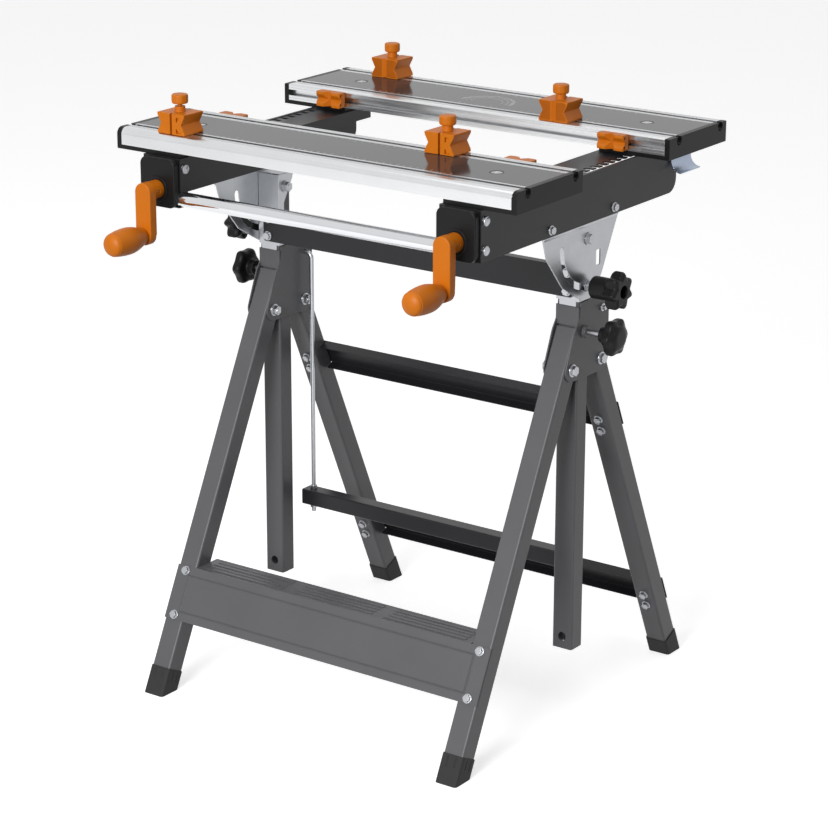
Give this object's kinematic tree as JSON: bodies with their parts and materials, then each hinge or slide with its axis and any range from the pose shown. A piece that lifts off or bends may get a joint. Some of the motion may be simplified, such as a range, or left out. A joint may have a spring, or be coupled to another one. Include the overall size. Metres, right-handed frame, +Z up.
{
  "type": "folding clamping workbench",
  "caption": "Folding trestle workbench with two slotted aluminium clamping jaws on a tilting, height-adjustable top, hand cranks, movable dogs and a front step",
  "frame": {"origin": "middle of the bench's box, at the floor", "axes": "X along the jaws, Y from the crank side to the back, Z up"},
  "size_m": [0.6252, 0.6224, 0.8105],
  "materials": {
    "frame_paint": "graphite powder coat, satin",
    "dark_paint": "anthracite powder coat, satin",
    "zinc": "bright zinc plate",
    "chrome": "polished chrome plate",
    "jaw_aluminium": "natural anodised extrusion",
    "panel": "glossy grey inlay",
    "orange_plastic": "orange moulded nylon",
    "black_plastic": "black moulded nylon",
    "rubber": "black rubber"
  },
  "bodies": {
    "head": {"head_bracket_left": "frame_paint", "head_bracket_right": "frame_paint", "leg_pivot_bolts": "zinc"},
    "front_legs": {"front_leg_left": "frame_paint", "front_leg_right": "frame_paint", "front_step": "frame_paint", "front_step_bolts": "zinc", "front_feet": "rubber"},
    "rear_legs": {"rear_leg_left": "frame_paint", "rear_leg_right": "frame_paint", "rear_crossbar_upper": "dark_paint", "rear_crossbar_lower": "dark_paint", "rear_crossbar_bolts": "zinc", "rear_feet": "rubber"},
    "hanger": {"hanging_rods": "zinc", "hanging_bar": "dark_paint"},
    "posts": {"post_left": "frame_paint", "post_right": "frame_paint", "post_crossbar": "frame_paint", "post_bracket_left": "zinc", "post_bracket_right": "zinc", "post_bolts": "zinc"},
    "height_knob_left_body": {"height_knob_left": "black_plastic"},
    "height_knob_right_body": {"height_knob_right": "black_plastic"},
    "tilt_knob_left_body": {"tilt_knob_left": "black_plastic"},
    "tilt_knob_right_body": {"tilt_knob_right": "black_plastic"},
    "top": {"rail_left": "dark_paint", "rail_right": "dark_paint", "tilt_plate_left": "zinc", "tilt_plate_right": "zinc", "screw_housing_left": "black_plastic", "screw_housing_right": "black_plastic", "top_fasteners": "zinc", "handle_bar": "chrome"},
    "front_jaw_body": {"front_jaw": "jaw_aluminium", "front_jaw_panel": "panel", "front_jaw_caps": "black_plastic"},
    "rear_jaw_body": {"rear_jaw": "jaw_aluminium", "rear_jaw_panel": "panel", "rear_jaw_caps": "black_plastic"},
    "crank_left_body": {"crank_left": "orange_plastic", "lead_screw_left": "zinc"},
    "crank_right_body": {"crank_right": "orange_plastic", "lead_screw_right": "zinc"},
    "grip_left_body": {"crank_grip_left": "orange_plastic"},
    "grip_right_body": {"crank_grip_right": "orange_plastic"},
    "lever_left_body": {"release_lever_left": "zinc"},
    "lever_right_body": {"release_lever_right": "zinc"},
    "dog_front_left_body": {"dog_front_left": "orange_plastic"},
    "dog_knob_front_left_body": {"dog_knob_front_left": "orange_plastic"},
    "side_dog_front_left_body": {"side_dog_front_left": "orange_plastic"},
    "dog_front_right_body": {"dog_front_right": "orange_plastic"},
    "dog_knob_front_right_body": {"dog_knob_front_right": "orange_plastic"},
    "side_dog_front_right_body": {"side_dog_front_right": "orange_plastic"},
    "dog_rear_left_body": {"dog_rear_left": "orange_plastic"},
    "dog_knob_rear_left_body": {"dog_knob_rear_left": "orange_plastic"},
    "side_dog_rear_left_body": {"side_dog_rear_left": "orange_plastic"},
    "dog_rear_right_body": {"dog_rear_right": "orange_plastic"},
    "dog_knob_rear_right_body": {"dog_knob_rear_right": "orange_plastic"},
    "side_dog_rear_right_body": {"side_dog_rear_right": "orange_plastic"}
  },
  "joints": [
    {"name": "front_legs_fold", "type": "hinge", "parent": "head", "child": "front_legs", "pos_m": [0, 0.00888, 0.482], "axis": [1, 0, 0], "range_deg": [0, 25]},
    {"name": "rear_legs_fold", "type": "hinge", "parent": "head", "child": "rear_legs", "pos_m": [0, 0.07738, 0.482], "axis": [-1, 0, 0], "range_deg": [0, 21.5]},
    {"name": "hanger_swing", "type": "hinge", "parent": "head", "child": "hanger", "pos_m": [0, 0.07668, 0.55], "axis": [1, 0, 0], "range_deg": [-25, 0]},
    {"name": "posts_raise", "type": "slide", "parent": "head", "child": "posts", "axis": [0, 0, 1], "range_m": [0, 0.3]},
    {"name": "height_knob_left_turn", "type": "hinge", "parent": "head", "child": "height_knob_left_body", "pos_m": [-0.239, 0.03668, 0.527], "axis": [1, 0, 0], "continuous": true},
    {"name": "height_knob_right_turn", "type": "hinge", "parent": "head", "child": "height_knob_right_body", "pos_m": [0.239, 0.03668, 0.527], "axis": [1, 0, 0], "continuous": true},
    {"name": "tilt_knob_left_turn", "type": "hinge", "parent": "posts", "child": "tilt_knob_left_body", "pos_m": [-0.239, 0.03668, 0.5875], "axis": [1, 0, 0], "continuous": true},
    {"name": "tilt_knob_right_turn", "type": "hinge", "parent": "posts", "child": "tilt_knob_right_body", "pos_m": [0.239, 0.03668, 0.5875], "axis": [1, 0, 0], "continuous": true},
    {"name": "top_tilt", "type": "hinge", "parent": "posts", "child": "top", "pos_m": [0, 0.03668, 0.6485], "axis": [1, 0, 0], "range_deg": [0, 60]},
    {"name": "crank_left_turn", "type": "hinge", "parent": "top", "child": "crank_left_body", "pos_m": [-0.2305, -0.22332, 0.693], "axis": [0, 1, 0], "range_deg": [0, 7200]},
    {"name": "crank_right_turn", "type": "hinge", "parent": "top", "child": "crank_right_body", "pos_m": [0.2305, -0.22332, 0.693], "axis": [0, 1, 0], "range_deg": [0, 7200]},
    {"name": "front_jaw_slide", "type": "slide", "parent": "top", "child": "front_jaw_body", "axis": [0, 1, 0], "range_m": [0, 0.1]},
    {"name": "rear_jaw_slide", "type": "slide", "parent": "top", "child": "rear_jaw_body", "axis": [0, -1, 0], "range_m": [0, 0.06]},
    {"name": "grip_left_spin", "type": "hinge", "parent": "crank_left_body", "child": "grip_left_body", "pos_m": [-0.2305, -0.26332, 0.637], "axis": [0, 1, 0], "continuous": true},
    {"name": "grip_right_spin", "type": "hinge", "parent": "crank_right_body", "child": "grip_right_body", "pos_m": [0.2305, -0.26332, 0.637], "axis": [0, 1, 0], "continuous": true},
    {"name": "lever_left_lift", "type": "hinge", "parent": "rear_jaw_body", "child": "lever_left_body", "pos_m": [-0.209, 0.22868, 0.7362], "axis": [0, 1, 0], "range_deg": [0, 3.5], "stiffness_Nm_per_rad": 1, "springref_deg": -5.73},
    {"name": "lever_right_lift", "type": "hinge", "parent": "rear_jaw_body", "child": "lever_right_body", "pos_m": [0.209, 0.22868, 0.7362], "axis": [0, -1, 0], "range_deg": [0, 3.5], "stiffness_Nm_per_rad": 1, "springref_deg": -5.73},
    {"name": "dog_front_left_slide", "type": "slide", "parent": "front_jaw_body", "child": "dog_front_left_body", "axis": [1, 0, 0], "range_m": [-0.055, 0.495]},
    {"name": "dog_knob_front_left_turn", "type": "hinge", "parent": "dog_front_left_body", "child": "dog_knob_front_left_body", "pos_m": [-0.221, -0.17882, 0.78], "axis": [0, 0, 1], "continuous": true},
    {"name": "dog_front_right_slide", "type": "slide", "parent": "front_jaw_body", "child": "dog_front_right_body", "axis": [1, 0, 0], "range_m": [-0.395, 0.155]},
    {"name": "dog_knob_front_right_turn", "type": "hinge", "parent": "dog_front_right_body", "child": "dog_knob_front_right_body", "pos_m": [0.12, -0.07382, 0.78], "axis": [0, 0, 1], "continuous": true},
    {"name": "dog_rear_left_slide", "type": "slide", "parent": "rear_jaw_body", "child": "dog_rear_left_body", "axis": [1, 0, 0], "range_m": [-0.059, 0.49]},
    {"name": "dog_knob_rear_left_turn", "type": "hinge", "parent": "dog_rear_left_body", "child": "dog_knob_rear_left_body", "pos_m": [-0.217, 0.27618, 0.78], "axis": [0, 0, 1], "continuous": true},
    {"name": "dog_rear_right_slide", "type": "slide", "parent": "rear_jaw_body", "child": "dog_rear_right_body", "axis": [1, 0, 0], "range_m": [-0.404, 0.146]},
    {"name": "dog_knob_rear_right_turn", "type": "hinge", "parent": "dog_rear_right_body", "child": "dog_knob_rear_right_body", "pos_m": [0.129, 0.17118, 0.78], "axis": [0, 0, 1], "continuous": true},
    {"name": "side_dog_front_left_slide", "type": "slide", "parent": "front_jaw_body", "child": "side_dog_front_left_body", "axis": [1, 0, 0], "range_m": [-0.036, 0.2]},
    {"name": "side_dog_front_right_slide", "type": "slide", "parent": "front_jaw_body", "child": "side_dog_front_right_body", "axis": [1, 0, 0], "range_m": [-0.2, 0.064]},
    {"name": "side_dog_rear_left_slide", "type": "slide", "parent": "rear_jaw_body", "child": "side_dog_rear_left_body", "axis": [1, 0, 0], "range_m": [-0.054, 0.19]},
    {"name": "side_dog_rear_right_slide", "type": "slide", "parent": "rear_jaw_body", "child": "side_dog_rear_right_body", "axis": [1, 0, 0], "range_m": [-0.19, 0.046]}
  ],
  "couplings": [
    {"joint": "crank_right_turn", "follows": "crank_left_turn", "ratio": 1},
    {"joint": "front_jaw_slide", "follows": "crank_left_turn", "m_per_rad": 0.00079577}
  ]
}
